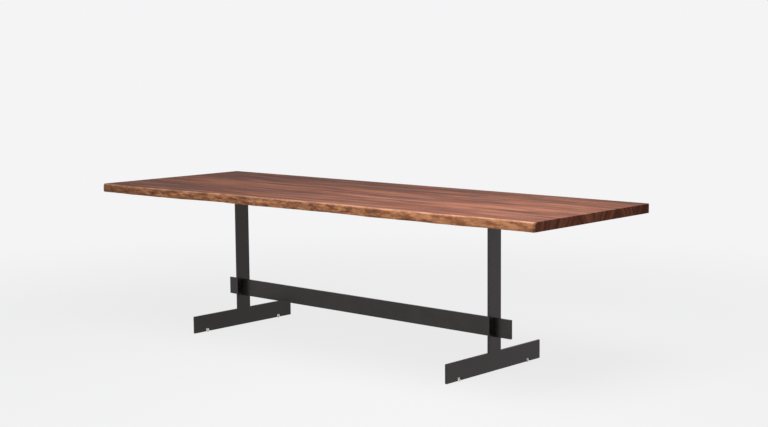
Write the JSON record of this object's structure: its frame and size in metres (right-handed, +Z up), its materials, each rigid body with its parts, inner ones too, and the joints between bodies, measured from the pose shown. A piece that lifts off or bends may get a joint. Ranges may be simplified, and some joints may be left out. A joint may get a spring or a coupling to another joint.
{
  "type": "dining table",
  "caption": "Long dining table: solid plank top with one live edge, on inverted-T legs of flat steel bar joined by a through stretcher, with screw-adjusted levelling glides.",
  "frame": {"origin": "on the floor, under the middle of the top's outline box", "axes": "+X along the top towards its narrower end, +Y towards its straight edge, +Z up; the steel frame's middle plane is at Y = +0.031 m"},
  "size_m": [2.66, 0.924, 0.738],
  "materials": {
    "walnut": "satin oil over planed walnut",
    "walnut_live_edge": "satin oil, natural edge with pale sapwood",
    "blackened_steel": "blackened and waxed, satin",
    "zinc_plated_steel": "zinc plated",
    "nylon": "moulded, matt"
  },
  "bodies": {
    "table": {"board_back": "walnut", "board_second": "walnut", "board_third": "walnut", "board_fourth": "walnut", "board_fifth": "walnut", "board_live_edge": "walnut_live_edge", "top_plate_left": "blackened_steel", "top_plate_right": "blackened_steel", "upright_left": "blackened_steel", "upright_right": "blackened_steel", "foot_left": "blackened_steel", "foot_right": "blackened_steel", "stretcher": "blackened_steel", "threaded_inserts": "zinc_plated_steel", "top_washers": "zinc_plated_steel", "top_screws": "zinc_plated_steel", "glide_lock_nuts": "zinc_plated_steel"},
    "base_front_left": {"glide_base_front_left": "zinc_plated_steel", "glide_pad_front_left": "nylon"},
    "stem_front_left": {"glide_stem_front_left": "zinc_plated_steel"},
    "base_front_right": {"glide_base_front_right": "zinc_plated_steel", "glide_pad_front_right": "nylon"},
    "stem_front_right": {"glide_stem_front_right": "zinc_plated_steel"},
    "base_back_left": {"glide_base_back_left": "zinc_plated_steel", "glide_pad_back_left": "nylon"},
    "stem_back_left": {"glide_stem_back_left": "zinc_plated_steel"},
    "base_back_right": {"glide_base_back_right": "zinc_plated_steel", "glide_pad_back_right": "nylon"},
    "stem_back_right": {"glide_stem_back_right": "zinc_plated_steel"}
  },
  "joints": [
    {"name": "drop_front_left", "type": "slide", "parent": "table", "child": "base_front_left", "axis": [0, 0, -1], "range_m": [0, 0.008]},
    {"name": "screw_front_left", "type": "hinge", "parent": "base_front_left", "child": "stem_front_left", "pos_m": [-0.817, -0.214, 0.0072], "axis": [0, 0, -1], "range_deg": [0, 2880]},
    {"name": "drop_front_right", "type": "slide", "parent": "table", "child": "base_front_right", "axis": [0, 0, -1], "range_m": [0, 0.008]},
    {"name": "screw_front_right", "type": "hinge", "parent": "base_front_right", "child": "stem_front_right", "pos_m": [0.817, -0.214, 0.0072], "axis": [0, 0, -1], "range_deg": [0, 2880]},
    {"name": "drop_back_left", "type": "slide", "parent": "table", "child": "base_back_left", "axis": [0, 0, -1], "range_m": [0, 0.008]},
    {"name": "screw_back_left", "type": "hinge", "parent": "base_back_left", "child": "stem_back_left", "pos_m": [-0.817, 0.276, 0.0072], "axis": [0, 0, -1], "range_deg": [0, 2880]},
    {"name": "drop_back_right", "type": "slide", "parent": "table", "child": "base_back_right", "axis": [0, 0, -1], "range_m": [0, 0.008]},
    {"name": "screw_back_right", "type": "hinge", "parent": "base_back_right", "child": "stem_back_right", "pos_m": [0.817, 0.276, 0.0072], "axis": [0, 0, -1], "range_deg": [0, 2880]}
  ],
  "couplings": [
    {"joint": "screw_front_left", "follows": "drop_front_left", "rad_per_m": 6283.2},
    {"joint": "screw_front_right", "follows": "drop_front_right", "rad_per_m": 6283.2},
    {"joint": "screw_back_left", "follows": "drop_back_left", "rad_per_m": 6283.2},
    {"joint": "screw_back_right", "follows": "drop_back_right", "rad_per_m": 6283.2}
  ]
}
